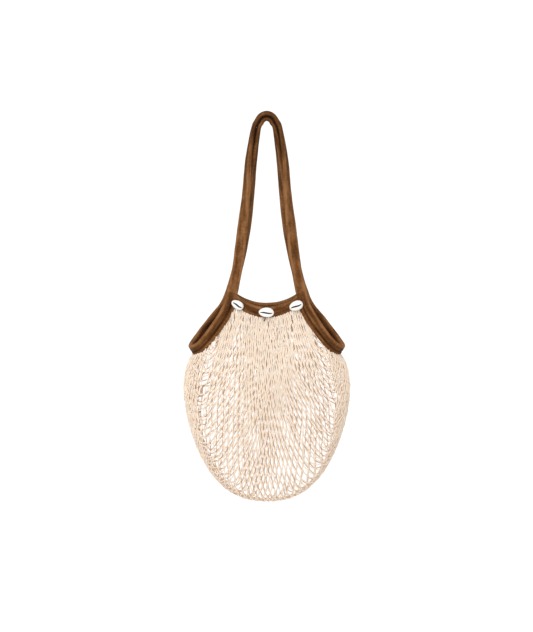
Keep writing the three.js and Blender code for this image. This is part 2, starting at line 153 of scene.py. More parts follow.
def loop_tables():
    """Tape middles, and [width, thick, turn, droop], at the whole-number loop places."""
    middles, sizes = [], []
    for place in range(LOOP):
        quarter, step = divmod(place, QUARTER)
        row = dict(zip(TAPE_COLUMNS, TAPE_ROWS[step if quarter % 2 == 0 else QUARTER - step]))
        side = 1 if quarter < 2 else -1
        back = quarter in (1, 2)
        middle = np.array([[row["x"] * side, row["y"] * (-1 if back else 1), row["z"]]], dtype=float)
        if back:
            middle -= row["nest"] * radial(middle, np.zeros(1))
            middle += [[side * row["splay"], 0, row["lift"]]]
        middles.append(middle[0])
        turns = np.radians([row["turn"], row["droop"]])
        sizes.append([row["width"], row["thick"], *turns])
    return np.array(middles), np.array(sizes)


LOOP_MIDDLES, LOOP_SIZES = loop_tables()


def catmull(values, places):
    """A closed Catmull-Rom curve through rows of values, and its slope, at loop places."""
    whole = np.floor(places).astype(int)
    t = (places - whole)[:, None]
    p0, p1, p2, p3 = (values[(whole + k) % len(values)] for k in (-1, 0, 1, 2))
    b, c, d = p2 - p0, 2 * p0 - 5 * p1 + 4 * p2 - p3, 3 * p1 - p0 - 3 * p2 + p3
    return 0.5 * (2 * p1 + b * t + c * t**2 + d * t**3), 0.5 * (b + 2 * c * t + 3 * d * t**2)


def tape_frame(middle, along, hint, width, thick):
    outward = unit(hint - along * dot(hint, along))
    inward = np.cross(along, outward)
    return dict(middle=middle, along=along, outward=outward, inward=inward, width=width, thick=thick)


def loop_frames(places):
    places = np.asarray(places, dtype=float)
    middle, slope = catmull(LOOP_MIDDLES, places)
    sizes, _ = catmull(LOOP_SIZES, places)
    width, thick, turn, droop = sizes.T
    share = np.mod(places, LOOP) / LOOP
    face = np.where((share > 0.25) & (share < 0.75), 1, -1)
    hint = radial(middle, droop) * np.cos(turn)[:, None]
    hint[:, 1] += face * np.sin(turn)
    return tape_frame(middle, unit(slope), hint, width, thick)


def collar_frames(x, face):
    x = np.asarray(x, dtype=float)
    radius = BACK_RADIUS if face > 0 else FRONT_RADIUS
    lean = np.arcsin(x / radius)
    flat = np.zeros_like(x)
    z = COLLAR_Z + radius * (1 - np.cos(lean))
    middle = np.stack([x, flat + face * COLLAR_Y, z], axis=1)
    along = np.stack([-face * np.cos(lean), flat, -face * np.sin(lean)], axis=1)
    hint = np.stack([flat, flat + face, flat], axis=1)
    width = COLLAR_WIDTH - COLLAR_TAPER * (x / COLLAR_REACH) ** 2
    return tape_frame(middle, along, hint, width, flat + COLLAR_THICK)


# Meshes from arrays.


def add_object(name, data):
    made = bpy.data.objects.new(name, data)
    bpy.context.scene.collection.objects.link(made)
    return made


def add_mesh(name, points, faces, uv=None, values=None):
    """A smooth mesh, with a UV for every face corner and named values for every point."""
    mesh = bpy.data.meshes.new(name)
    metres = np.asarray(points, dtype=float) * MM
    mesh.from_pydata(metres.tolist(), [], faces if isinstance(faces, list) else faces.tolist())
    mesh.polygons.foreach_set("use_smooth", np.ones(len(mesh.polygons), dtype=bool))
    if uv is not None:
        uv_layer = mesh.uv_layers.new(name="surface")
        uv_layer.data.foreach_set("uv", np.asarray(uv, dtype=np.float32).ravel())
    for key, numbers in (values or {}).items():
        layer = mesh.attributes.new(key, "FLOAT", "POINT")
        layer.data.foreach_set("value", np.asarray(numbers, dtype=np.float32))
    mesh.update()
    return add_object(name, mesh)


def grid_faces(rings, around):
    """Quads of a tube of rings, with the grid place of every corner."""
    i, j = grid_cells(rings - 1, around)
    corner_rows = np.stack([i, i + 1, i + 1, i], axis=1)
    corner_columns = np.stack([j, j, j + 1, j + 1], axis=1)
    faces = corner_rows * around + corner_columns % around
    return faces, corner_rows, corner_columns


STRAND_SIDES = 6  # points round a cord or thread
THREAD_SHADE = -0.5  # the sewing thread's own darker tone, on the tape's scale of tone, light and shade


def cap_quads(around):
    """Quads across a ring with an even number of points."""
    return np.array([[j, j + 1, around - 2 - j, around - 1 - j] for j in range(around // 2 - 1)])


def end_caps(rings, around):
    quads = cap_quads(around)
    return np.concatenate([quads, quads[:, ::-1] + (rings - 1) * around])


def ring_spokes(side, lift):
    """Ways from a strand's middle to the points round it."""
    angle = (TAU * np.arange(STRAND_SIDES) / STRAND_SIDES)[:, None]
    return np.cos(angle) * side[..., None, :] + np.sin(angle) * lift[..., None, :]


def add_strands(name, paths, lifts, radius):
    """Short threads as one mesh, from their middles and ways up from the ground."""
    count, rings, _ = paths.shape
    way = unit(np.gradient(paths, axis=1))
    side = unit(np.cross(way, lifts[:, None]))
    lift = np.cross(side, way)
    points = paths[:, :, None] + radius * ring_spokes(side, lift)
    faces, rows, columns = grid_faces(rings, STRAND_SIDES)
    caps = end_caps(rings, STRAND_SIDES)
    along = path_lengths(paths)
    uv = np.zeros((count, len(faces) + len(caps), 4, 2))
    uv[:, : len(faces), :, 0] = columns / STRAND_SIDES
    uv[:, : len(faces), :, 1] = along[:, rows]
    offsets = rings * STRAND_SIDES * np.arange(count)
    all_faces = np.concatenate([faces, caps])[None] + offsets[:, None, None]
    values = {"tone_light_and_shade": np.full(count * rings * STRAND_SIDES, THREAD_SHADE)}
    return add_mesh(name, points.reshape(-1, 3), all_faces.reshape(-1, 4), uv.reshape(-1, 2), values)


def finish_piece(piece, material, slot, *nodes):
    piece.data.materials.append(material)
    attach(piece, "root")
    if nodes:
        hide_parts(*nodes)


def smooth_noise(along, wavelength, seed):
    """A smooth random wave of about unit height along a length."""
    waves = np.random.default_rng(seed)
    value = np.zeros_like(along)
    for stretch in (1, 0.61, 0.37):
        phase = waves.uniform(0, TAU)
        value += stretch * np.sin(TAU * along / (wavelength * stretch) + phase)
    return value / 1.4


# Materials.


def new_material(name, settings):
    """A material, its node tree and its shader, with settings by the names of sockets."""
    material = bpy.data.materials.new(name)
    material.use_nodes = True
    shader = material.node_tree.nodes["Principled BSDF"]
    for socket, value in settings.items():
        shader.inputs[socket].default_value = value
    return material, material.node_tree, shader


def node(tree, kind, **values):
    made = tree.nodes.new(kind)
    for key, value in values.items():
        setattr(made, key, value)
    return made


def maths(tree, operation, *values):
    made = node(tree, "ShaderNodeMath", operation=operation)
    for socket, value in zip(made.inputs, values):
        if isinstance(value, (int, float)):
            socket.default_value = value
        else:
            tree.links.new(value, socket)
    return made.outputs[0]


def ramp(tree, value, stops):
    made = node(tree, "ShaderNodeValToRGB")
    elements = made.color_ramp.elements
    while len(elements) < len(stops):
        elements.new(0.5)
    for element, (place, colour) in zip(elements, stops):
        element.position = place
        element.color = (*colour, 1)
    tree.links.new(value, made.inputs["Fac"])
    return made.outputs["Color"]


def noise(tree, scale, detail=3.0, vector=None):
    """Noise over a vector, or else over the object's place in metres."""
    if vector is None:
        vector = node(tree, "ShaderNodeTexCoord").outputs["Object"]
    made = node(tree, "ShaderNodeTexNoise")
    made.inputs["Scale"].default_value = scale
    made.inputs["Detail"].default_value = detail
    tree.links.new(vector, made.inputs["Vector"])
    return made.outputs["Fac"]


def uv_parts(tree):
    uv = node(tree, "ShaderNodeUVMap", uv_map="surface")
    parts = node(tree, "ShaderNodeSeparateXYZ")
    tree.links.new(uv.outputs["UV"], parts.inputs["Vector"])
    return parts.outputs["X"], parts.outputs["Y"]


def bump(tree, shader, height, strength, distance):
    made = node(tree, "ShaderNodeBump")
    made.inputs["Strength"].default_value = strength
    made.inputs["Distance"].default_value = distance * MM
    tree.links.new(height, made.inputs["Height"])
    tree.links.new(made.outputs["Normal"], shader.inputs["Normal"])


def attribute(tree, name):
    return node(tree, "ShaderNodeAttribute", attribute_name=name).outputs["Fac"]


WALE = 1.5  # width of one column of knit stitches
COURSE = 1.2  # height of one row of knit stitches
STITCH_SLOPE = 1.6  # rows that a stitch's legs rise in a column's width
PATCHES = (0.16, 0.035)  # scales of worn patches across and along the tape
RIBS = (0.12, 0.62)  # and of faint ribs
KNIT_TONES = [(0.28, (0.024, 0.007, 0.0016)), (0.66, (0.128, 0.049, 0.0135)), (0.98, (0.29, 0.135, 0.052))]


def tape_noise(tree, across, along, scales, detail=3.0):
    """Noise over the tape, with scales to a millimetre across and along it."""
    place = node(tree, "ShaderNodeCombineXYZ")
    tree.links.new(maths(tree, "MULTIPLY", across, scales[0]), place.inputs["X"])
    tree.links.new(maths(tree, "MULTIPLY", along, scales[1]), place.inputs["Y"])
    return noise(tree, 1.0, detail, place.outputs["Vector"])


def knit_stitches(tree, across, along):
    """Height of the knit: columns of stitches with two sloping legs each."""
    wale = maths(tree, "FRACT", maths(tree, "DIVIDE", across, WALE))
    from_middle = maths(tree, "ABSOLUTE", maths(tree, "SUBTRACT", wale, 0.5))
    leg = maths(tree, "ABSOLUTE", maths(tree, "SUBTRACT", from_middle, 0.25))
    rounded = maths(tree, "SUBTRACT", 1.0, maths(tree, "POWER", maths(tree, "MULTIPLY", leg, 4.0), 2.0))
    slope = maths(tree, "MULTIPLY", from_middle, STITCH_SLOPE)
    course = maths(tree, "ADD", maths(tree, "DIVIDE", along, COURSE), slope)
    loops = maths(tree, "COSINE", maths(tree, "MULTIPLY", course, TAU))
    return maths(tree, "MULTIPLY", rounded, maths(tree, "MULTIPLY_ADD", loops, 0.3, 0.7))


def knit_material():
    """Brown knit, worn pale in patches, paler on its rolled edges by wear and a painted highlight, with
    painted shade in its creases.
    """
    settings = {
        "Roughness": 0.86,
        "Sheen Weight": 0.08,
        "Sheen Roughness": 0.5,
        "Sheen Tint": (0.6, 0.35, 0.18, 1),
        "Specular IOR Level": 0.08,
    }
    material, tree, shader = new_material("brown_knit", settings)
    across, along = uv_parts(tree)
    stitch = knit_stitches(tree, across, along)
    patches = tape_noise(tree, across, along, PATCHES)
    ribs = tape_noise(tree, across, along, RIBS, 2)
    mottle = noise(tree, 320, 4)
    worn = maths(tree, "ADD", patches, maths(tree, "MULTIPLY_ADD", mottle, 0.25, -0.125))
    worn = maths(tree, "MULTIPLY_ADD", ribs, 0.3, worn)
    # Tone, painted highlight and painted shade carried on the tape's points: worn edges, the thread, and
    # painted shade in grooves, creases and the straps' arch.
    tone = maths(tree, "MULTIPLY_ADD", attribute(tree, "tone_light_and_shade"), 0.4, worn)
    tone = maths(tree, "MULTIPLY_ADD", stitch, 0.1, tone)
    tree.links.new(ramp(tree, tone, KNIT_TONES), shader.inputs["Base Color"])
    fuzz = noise(tree, 2600, 2)
    height = maths(tree, "MULTIPLY_ADD", fuzz, 0.35, stitch)
    height = maths(tree, "MULTIPLY_ADD", ribs, 1.2, height)
    bump(tree, shader, height, 0.6, 0.4)
    return material


PLY = 3.0  # length of one turn of the cord's two plies
# The darkest tone is painted warm shade, for strand sides that face into the pouch.
COTTON_TONES = [(0.05, (0.78, 0.6, 0.45)), (0.5, (0.825, 0.665, 0.53)), (0.9, (0.865, 0.73, 0.605))]


def cotton_material():
    """Two-ply cord, cream on the pouch's outside, with warm painted shade where it faces in and in the
    ply's grooves.
    """
    settings = {
        "Roughness": 0.88,
        "Sheen Weight": 0.15,
        "Sheen Tint": (1.0, 0.93, 0.85, 1),
        "Specular IOR Level": 0.2,
        "Subsurface Weight": 0.6,
        "Subsurface Radius": (1.0, 1.0, 1.0),
        "Subsurface Scale": 1.2 * MM,
    }
    material, tree, shader = new_material("undyed_cotton", settings)
    around, along = uv_parts(tree)
    turns = maths(tree, "ADD", maths(tree, "MULTIPLY", around, 2.0), maths(tree, "DIVIDE", along, PLY))
    ply = maths(tree, "ABSOLUTE", maths(tree, "SINE", maths(tree, "MULTIPLY", turns, math.pi)))
    # Painted shade: darker in the ply's grooves, and warmer and darker on strand sides that face into the
    # pouch.
    tone = maths(tree, "MULTIPLY_ADD", noise(tree, 90), 0.3, maths(tree, "MULTIPLY", ply, 0.12))
    tone = maths(tree, "MULTIPLY_ADD", attribute(tree, "facing_out"), 0.42, maths(tree, "ADD", tone, 0.27))
    tree.links.new(ramp(tree, tone, COTTON_TONES), shader.inputs["Base Color"])
    height = maths(tree, "MULTIPLY_ADD", noise(tree, 3000, 2), 0.3, ply)
    bump(tree, shader, height, 0.5, 0.3)
    return material


SHELL_TONES = [(0.3, (0.9, 0.88, 0.84)), (0.7, (0.95, 0.94, 0.92))]


def shell_material():
    settings = {"Roughness": 0.22, "Coat Weight": 0.3, "Coat Roughness": 0.15}
    material, tree, shader = new_material("cowrie_porcelain", settings)
    pale = ramp(tree, noise(tree, 120), SHELL_TONES)
    mix = node(tree, "ShaderNodeMix", data_type="RGBA")
    tree.links.new(attribute(tree, "slit"), mix.inputs["Factor"])
    tree.links.new(pale, mix.inputs["A"])
    # The slit is painted near black, as painted shade in the shell's opening.
    mix.inputs["B"].default_value = (0.035, 0.018, 0.01, 1)
    tree.links.new(mix.outputs["Result"], shader.inputs["Base Color"])
    return material


FLOOR_TONES = [(0.3, (0.88, 0.88, 0.875)), (0.7, (0.9, 0.9, 0.895))]


def floor_material():
    material, tree, shader = new_material("pale_floor", {"Roughness": 0.9, "Specular IOR Level": 0.1})
    tree.links.new(ramp(tree, noise(tree, 0.6), FLOOR_TONES), shader.inputs["Base Color"])
    return material


KNIT = knit_material()
COTTON = cotton_material()
PORCELAIN = shell_material()

# Tape pieces.

AROUND = 40  # points round a tape section
SQUARENESS = 3.1  # superellipse power of a tape section
RING_STEP = 1.0  # between rings along a tape
PLUMP = 1.06  # how much fuller the soft tape is than its solid
GROOVE_DEPTH = 0.95
GROOVE_WIDTH = 1.1
GROOVE_PLACE = 0.12  # towards the net, as a share of the tape's width
ROLL_INSET = 1.9  # where the tape's rolled edges are thickest
ROLL_WIDTH = 1.2
ROLL_SWELL = 0.1  # and by what share
WIDTH_WAVER, WIDTH_WAVE = 0.015, 46  # share by which the width wavers, and length of a wave
THICK_WAVER, THICK_WAVE = 0.03, 33
GATHER = 5.2  # length of one pucker along the net's edge
GATHER_DRIFT, GATHER_WAVE = 1.3, 21  # how unevenly the puckers follow on


def tape_section(width, thick, groove, strap):
    """Section points [towards the net, outwards], and a tone for each: paler on rolled edges by wear and a
    painted highlight, with painted shade in the hollow and the groove.
    """
    angle = TAU * np.arange(AROUND) / AROUND
    cos, sin = np.cos(angle), np.sin(angle)
    half = width[:, None] / 2
    a = np.sign(cos) * np.abs(cos) ** (2 / SQUARENESS) * half
    b = np.sign(sin) * np.abs(sin) ** (2 / SQUARENESS) * thick[:, None] / 2
    fold = bell((a + half - ROLL_INSET) / ROLL_WIDTH)
    hem = bell((a - half + ROLL_INSET) / ROLL_WIDTH) * strap
    hollow = bell((a + half - 3 * ROLL_INSET) / (1.5 * ROLL_WIDTH)) * (1 - 0.5 * strap)
    press = bell((a - GROOVE_PLACE * 2 * half) / GROOVE_WIDTH) * groove[:, None]
    b = b * (1 + ROLL_SWELL * fold + ROLL_SWELL * hem - ROLL_SWELL * hollow)
    b = b - np.sign(b) * GROOVE_DEPTH * press * np.minimum(1, np.abs(b))
    edge = np.abs(a / half) ** 8
    # Tone of the tape: rolled edges paler, partly by wear and partly by a painted highlight; painted shade
    # in the hollow and the groove.
    tone_light_and_shade = 0.4 * fold + 0.3 * hem + 0.3 * edge - 0.35 * hollow - 1.3 * press
    return a, b, tone_light_and_shade


STRAPS_PART_Z = -105  # the two straps lie together above here
STRAPS_MEET_Z = -25
LEG_WEAR = 0.15  # how much paler the straps' legs are from wear, on the tape's scale of tone, light and shade
ARCH_SHADE = 0.75  # and how much darker their top is


def face_shade(b, thick, face):
    """Shade that grows towards one face of a tape: 1 is the outside and -1 the inside."""
    return eased((2 * face * b / thick[:, None] - 0.15) / 0.6)


def strap_crease(b, thick, height, face):
    """Shade where the two straps lie together."""
    together = eased((height - STRAPS_PART_Z) / (STRAPS_MEET_Z - STRAPS_PART_Z))
    return together[:, None] * face_shade(b, thick, face)


def strap_wear_and_shade(height):
    """Paler where hands hold the straps, with painted shade in the fold over the hook."""
    return LEG_WEAR - ARCH_SHADE * eased((height - STRAPS_PART_Z) / -STRAPS_PART_Z)


# Painted shade on the inside face of a binding or collar, towards the net, deep in the mouth's slit.
def mouth_slit_shade(a, b, width, thick):
    return face_shade(b, thick, -1) * eased((2 * a / width[:, None] + 0.5) / 0.5)


def add_tape(name, frames, along, groove, seed, pucker=0.0, strap=0):
    """A tape along frames; strap is 1 or -1 if its outside or inside lies on the other strap, else 0."""
    width = frames["width"] * (1 + WIDTH_WAVER * smooth_noise(along, WIDTH_WAVE, seed))
    thick = frames["thick"] * PLUMP * (1 + THICK_WAVER * smooth_noise(along, THICK_WAVE, seed + 1))
    a, b, tone_light_and_shade = tape_section(width, thick, groove, abs(strap))
    # Straps: painted shade where they lie together and over the hook, and legs paler from wear. Bindings
    # and collars: painted shade deep in the mouth's slit.
    if strap:
        height = frames["middle"][:, 2]
        tone_light_and_shade = tone_light_and_shade - strap_crease(b, thick, height, strap) + strap_wear_and_shade(height)[:, None]
    else:
        tone_light_and_shade = tone_light_and_shade - mouth_slit_shade(a, b, width, thick)
    lower = np.clip(2 * a / width[:, None], 0, 1) ** 2
    gathers = np.sin(TAU * along / GATHER + GATHER_DRIFT * smooth_noise(along, GATHER_WAVE, seed + 2))
    b = b + pucker * lower * gathers[:, None]
    towards_net = a[..., None] * frames["inward"][:, None]
    outwards = b[..., None] * frames["outward"][:, None]
    points = frames["middle"][:, None] + towards_net + outwards
    rings = len(points)
    faces, rows, columns = grid_faces(rings, AROUND)
    round_length = path_lengths(np.concatenate([points, points[:, :1]], axis=1))
    uv = np.stack([round_length[rows, columns], along[rows]], axis=-1)
    caps = end_caps(rings, AROUND)
    faces = np.concatenate([faces, caps])
    uv = np.concatenate([uv.reshape(-1, 2), np.zeros((caps.size, 2))])
    piece = add_mesh(name + "_knit", points.reshape(-1, 3), faces, uv, {"tone_light_and_shade": tone_light_and_shade.ravel()})
    finish_piece(piece, KNIT, "knit_tape", name)


TAPE_SEED = 21  # the straps and side bindings run on as one tape
SEAM_FADE = 1.4  # how fast the side bindings' groove deepens from the seams


def loop_lengths():
    """Loop places and the length of tape up to each, from the back left seam round."""
    places = np.linspace(TOP_BACK + SEAM_ROW - LOOP, TOP_BACK + SEAM_ROW, 40 * LOOP + 1)
    middle, _ = catmull(LOOP_MIDDLES, places)
    return places, path_lengths(middle)


def loop_rings(start, end):
    """Loop places about a ring step apart, and their lengths along the tape."""
    places, lengths = loop_lengths()
    low, high = np.interp([start, end], places, lengths)
    count = int((high - low) / RING_STEP) + 1
    along = np.linspace(low, high, count)
    return np.interp(along, lengths, places), along


def add_straps():
    for name, top, strap in (("strap_front", 0, -1), ("strap_back", TOP_BACK, 1)):
        places, along = loop_rings(top - SEAM_ROW, top + SEAM_ROW)
        add_tape(name, loop_frames(places), along, np.zeros(len(places)), TAPE_SEED, strap=strap)


def side_groove(places, tip):
    return eased(SEAM_FADE * (HALF_SIDE - np.abs(places - tip)))


def add_side_bindings():
    for name, tip in (("side_binding_right", TIP_RIGHT), ("side_binding_left", TIP_LEFT - LOOP)):
        places, along = loop_rings(tip - HALF_SIDE, tip + HALF_SIDE)
        add_tape(name, loop_frames(places), along, side_groove(places, tip), TAPE_SEED, pucker=0.2)


COLLAR_END = 46.5  # the collars run on under the side bindings to here
COLLAR_THINS = 35  # and grow thinner from here
COLLAR_THINNING = 0.45  # by this share at their ends
COLLAR_GROOVE = 0.35  # depth of their groove, as a share of the side bindings'


def add_collars():
    for name, face, seed in (("collar_front", -1, 61), ("collar_back", 1, 71)):
        x = np.linspace(-COLLAR_END, COLLAR_END, 2 * int(COLLAR_END / RING_STEP))
        frames = collar_frames(-face * x, face)
        thin = eased((np.abs(x) - COLLAR_THINS) / (COLLAR_END - COLLAR_THINS))
        frames["thick"] = frames["thick"] * (1 - COLLAR_THINNING * thin)
        along = path_lengths(frames["middle"])
        add_tape(name, frames, along, np.full(len(x), COLLAR_GROOVE), seed, pucker=0.25)


STITCH_STEP = 4.4
STITCH_LENGTH = 3.2
STITCH_PROUD = 0.25  # height of a stitch's middle over the groove
STITCH_DIP = 2.4  # how steeply it dips towards its ends
STITCH_SCATTER = 0.12
THREAD_RADIUS = 0.42


def stitch_middles(frames, groove):
    """Stitches along the groove on both faces of a tape, and their ways out."""
    depth = frames["thick"] * PLUMP / 2 - GROOVE_DEPTH * groove
    middle = frames["middle"] + (GROOVE_PLACE * frames["width"])[:, None] * frames["inward"]
    steps = np.linspace(-0.5, 0.5, 5)
    dips = depth[:, None] + STITCH_PROUD - STITCH_DIP * steps**2
    path = middle[:, None] + STITCH_LENGTH * steps[None, :, None] * frames["along"][:, None]
    out = frames["outward"]
    rise = dips[..., None] * out[:, None]
    return np.concatenate([path + rise, path - rise]), np.concatenate([out, -out])


def add_stitches():
    rows = []
    for tip in (TIP_RIGHT, TIP_LEFT - LOOP):
        half = HALF_SIDE - 0.5
        places, along = loop_rings(tip - half, tip + half)
        at = np.interp(np.arange(along[0], along[-1], STITCH_STEP), along, places)
        rows.append(stitch_middles(loop_frames(at), side_groove(at, tip)))
    for face in (-1, 1):
        x = np.arange(-COLLAR_BOUND, COLLAR_BOUND, STITCH_STEP)
        rows.append(stitch_middles(collar_frames(x, face), COLLAR_GROOVE))
    paths = np.concatenate([path for path, _ in rows])
    lifts = np.concatenate([lift for _, lift in rows])
    paths = paths + rng.normal(0, STITCH_SCATTER, (len(paths), 1, 3))
    piece = add_strands("binding_stitches", paths, lifts, THREAD_RADIUS)
    finish_piece(piece, KNIT, "knit_tape")


TAIL_X, TAIL_Z, TAIL_LENGTH = -3.2, -272.5, 6.5  # the thread's end, under the middle shell
TAIL_CURL, TAIL_BOW, TAIL_GAP = 1.1, 1.5, 0.6  # its swing aside and out, and gap to the collar
TAIL_PLUMP = 1.5  # how much thicker it is than a stitch


def add_thread_tail():
    t = np.linspace(0, 1, 12)
    x = TAIL_X + TAIL_CURL * np.sin(4 * t)
    y = -(COLLAR_Y + COLLAR_THICK / 2 * PLUMP + TAIL_GAP) - TAIL_BOW * np.sin(math.pi * t)
    z = TAIL_Z - TAIL_LENGTH * t
    path = np.stack([x, y, z], axis=1)[None]
    piece = add_strands("thread_tail", path, np.array([[0.0, -1.0, 0.0]]), TAIL_PLUMP * THREAD_RADIUS)
    finish_piece(piece, KNIT, "knit_tape")


# Net. Stations run round the mouth: front collar, right side, back collar, left side.

STATIONS = 72
RIGHT, BACK, LEFT = STATIONS // 4, STATIONS // 2, 3 * STATIONS // 4  # stations at their middles
COLLAR_STEPS = 10  # over a collar
SIDE_STEPS = 24  # and over a side
BOUND_FROM_SEAM = 0.85  # loop places from a seam to the bound net
FORM_ACROSS, FORM_DOWN = 288, 80  # faces of the form that the net settles on


def mouth_tables():
    """Station numbers round the mouth, and the binding's lip, way in and face at each."""
    half_collar = COLLAR_STEPS / 2
    reach = HALF_SIDE - BOUND_FROM_SEAM
    shares = np.linspace(-1, 1, 121)
    parts = [
        (half_collar * shares, collar_frames(COLLAR_BOUND * shares, -1)),
        (RIGHT + SIDE_STEPS / 2 * shares, loop_frames(TIP_RIGHT + reach * shares)),
        (BACK + half_collar * shares, collar_frames(-COLLAR_BOUND * shares, 1)),
        (LEFT + SIDE_STEPS / 2 * shares, loop_frames(TIP_LEFT + reach * shares)),
    ]
    stations = np.concatenate([k for k, _ in parts])
    keys = ("middle", "width", "inward", "outward")
    middle, width, inward, outward = (np.concatenate([f[key] for _, f in parts]) for key in keys)
    return stations, middle + inward * width[:, None] / 2, inward, outward


MOUTH_STATIONS, MOUTH_LIPS, MOUTH_INWARD, MOUTH_OUTWARD = mouth_tables()


def at_mouth(values, station):
    return np.stack(
        [np.interp(station, MOUTH_STATIONS, values[:, k], period=STATIONS) for k in range(3)], axis=-1
    )


def belly_at(station):
    """Where stations cross the belly, in equal steps of arc round the oval."""
    angle = np.linspace(-math.pi / 2, 1.5 * math.pi, 1441)
    x, y = BELLY_HALF_WIDTH * np.cos(angle), BELLY_HALF_DEPTH * np.sin(angle)
    arc = np.concatenate([[0], np.cumsum(np.hypot(np.diff(x), np.diff(y)))])
    at = np.mod(station, STATIONS) / STATIONS * arc[-1]
    return np.interp(at, arc, x), np.interp(at, arc, y)


def net_form(station, fall):
    """The pouch's surface: fall is 0 at the binding, 0.5 at the belly and 1 at the bottom."""
    top = at_mouth(MOUTH_LIPS, station) + NET_EXIT * at_mouth(MOUTH_INWARD, station)
    wide_x, wide_y = belly_at(station)
    upper = np.clip(2 * fall, 0, 1) ** UPPER_FALL
    sideways = np.abs(wide_x) / BELLY_HALF_WIDTH
    fullness = FRONT_SWELL + (SIDE_SWELL - FRONT_SWELL) * sideways**2
    swell = (1 - (1 - upper) ** 2) ** fullness
    drop = np.sin(np.clip(2 * fall - 1, 0, 1) * math.pi / 2)
    shrink = np.maximum(0, 1 - drop**BOTTOM_FALL) ** BOTTOM_ROUND
    x = (top[..., 0] + (wide_x - top[..., 0]) * swell) * shrink
    y = (top[..., 1] + (wide_y - top[..., 1]) * swell) * shrink
    z = top[..., 2] + (BELLY_Z - top[..., 2]) * upper + (BOTTOM_Z - BELLY_Z) * drop
    return np.stack([x, y, z], axis=-1)


def form_tree():
    row = FORM_DOWN + 1
    stations = np.linspace(0, STATIONS, FORM_ACROSS + 1)
    falls = np.linspace(0, 1, row)
    points = net_form(np.repeat(stations, row), np.tile(falls, FORM_ACROSS + 1))
    i, j = grid_cells(FORM_ACROSS, FORM_DOWN)
    a = i * row + j
    faces = np.stack([a, a + 1, a + row + 1, a + row], axis=1)
    return BVHTree.FromPolygons(points.tolist(), faces.tolist())


MESHES_ACROSS = 50  # size of the flat sheet of net
HALF_ROWS = 58
LEG = 14.3  # longest leg of a mesh
STRAND_RADIUS = 0.86
CORNER_STATION = 8.7  # where the sheet's corners are bound
CORNER_SPREAD = 1.3  # how much farther out its diagonals run at the belly
BOTTOM_SPREAD = 3.4  # and how much farther still at the bottom
OPEN_CORNERS = 0.4  # how much the front's and back's meshes open towards the diagonals
OPEN_SIDES = 0.25  # and those of the sides
OPEN_POWER = 9  # how close to the diagonals they open
MOUTH_OPEN = 0.45  # how far they open already at the mouth
FRONT_SAG = 0.1  # how much longer the front's and back's meshes get towards the bottom
SIDE_SAG = -0.35  # and those of the sides
BOTTOM_SHORT = 1.2  # how much shorter the lowest meshes are, seen from the front
BOTTOM_WIDE = 0.5  # and how much wider
BLEND = 2  # how close to the diagonals front and side rows blend
TWIST = 1.1  # stations by which the pouch's bottom is turned
WARP, RIPPLE = 0.3, 0.04  # stations by which the columns wander and ripple
ROW_WARP, ROW_RIPPLE = 0.06, 0.025  # shares of the fall by which the rows wander and ripple
WARP_PACE, RIPPLE_PACE, ROW_RIPPLE_PACE = 3.2, 14, 22  # how fast these change over the sheet


def net_knots():
    """Knots of a flat sheet of net: grid places, legs as knot pairs, and the legs' slants."""
    columns = 2 * MESHES_ACROSS
    grid = [(a, b) for b in range(HALF_ROWS + 1) for a in range(columns + 1) if (a + b) % 2 == 0]
    number = {place: i for i, place in enumerate(grid)}
    legs = []
    for a, b in grid:
        for step in (-1, 1):
            if (a + step, b + 1) in number:
                legs.append((number[a, b], number[a + step, b + 1]))
    legs = np.array(legs)
    grid = np.array(grid, dtype=float)
    return grid, legs, grid[legs[:, 1], 0] - grid[legs[:, 0], 0]


def drift(u, v, pace, seed):
    """A smooth random wave of about unit height over the sheet; pace is how fast it changes."""
    waves = np.random.default_rng(seed)
    value = np.zeros_like(u)
    for _ in range(6):
        across, down, phase = waves.normal(0, pace), waves.normal(0, pace), waves.uniform(0, TAU)
        value += np.sin(across * u + down * v + phase)
    return value / 1.75


def sheet_stations(u, v, reach, front_back, even):
    """The mouth stations that places of the sheet lie towards."""
    below = np.clip(MOUTH_OPEN + 2 - 2 * reach, 0, 1) * np.minimum(1, 3 * reach)
    fan = np.clip(3 - 3 * reach, 0, 1)
    corner = CORNER_STATION + CORNER_SPREAD * fan * (2 - fan) + BOTTOM_SPREAD * np.clip(1 - 3 * reach, 0, 1)
    opened = np.where(front_back, OPEN_CORNERS, OPEN_SIDES)
    place = even + opened * below * (even**OPEN_POWER - even)
    ends = np.where(v < 0, corner * place, BACK - corner * place)
    beside = RIGHT - corner
    sides = np.where(u > 0, RIGHT + beside * place, LEFT - beside * place)
    warp = (WARP * drift(u, v, WARP_PACE, 5) + RIPPLE * drift(u, v, RIPPLE_PACE, 6)) * (1 - reach**2)
    return np.where(front_back, ends, sides) + warp - TWIST * (1 - reach) ** 1.5


def sheet_shares(u, v, reach, front_back, even):
    """Shares of the way down at which places of the sheet lie."""
    sideways = np.where(front_back, 0.5 * even**BLEND, 1 - 0.5 * even**BLEND)
    near_bottom = reach * (1 - reach) ** 6
    front_share = (1 - reach) * (1 - FRONT_SAG * reach) + BOTTOM_SHORT * near_bottom
    side_share = (1 - reach) * (1 - SIDE_SAG * reach) - BOTTOM_WIDE * near_bottom
    share = front_share + sideways * (side_share - front_share)
    share = share + ROW_WARP * drift(u, v, WARP_PACE, 8) * reach * (1 - reach)
    share = share + ROW_RIPPLE * drift(u, v, ROW_RIPPLE_PACE, 9) * np.minimum(1, 5 * (1 - reach)) * reach
    return np.clip(share, 0, 1)


def sheet_places(u, v):
    """Stations and shares of the way down for places of the sheet, and which are on its edge."""
    reach = np.maximum(np.maximum(np.abs(u), np.abs(v)), 1e-9)
    front_back = np.abs(v) >= np.abs(u)
    even = np.where(front_back, u, v) / reach
    spots = (u, v, reach, front_back, even)
    return sheet_stations(*spots), sheet_shares(*spots), reach > 1 - 1e-6


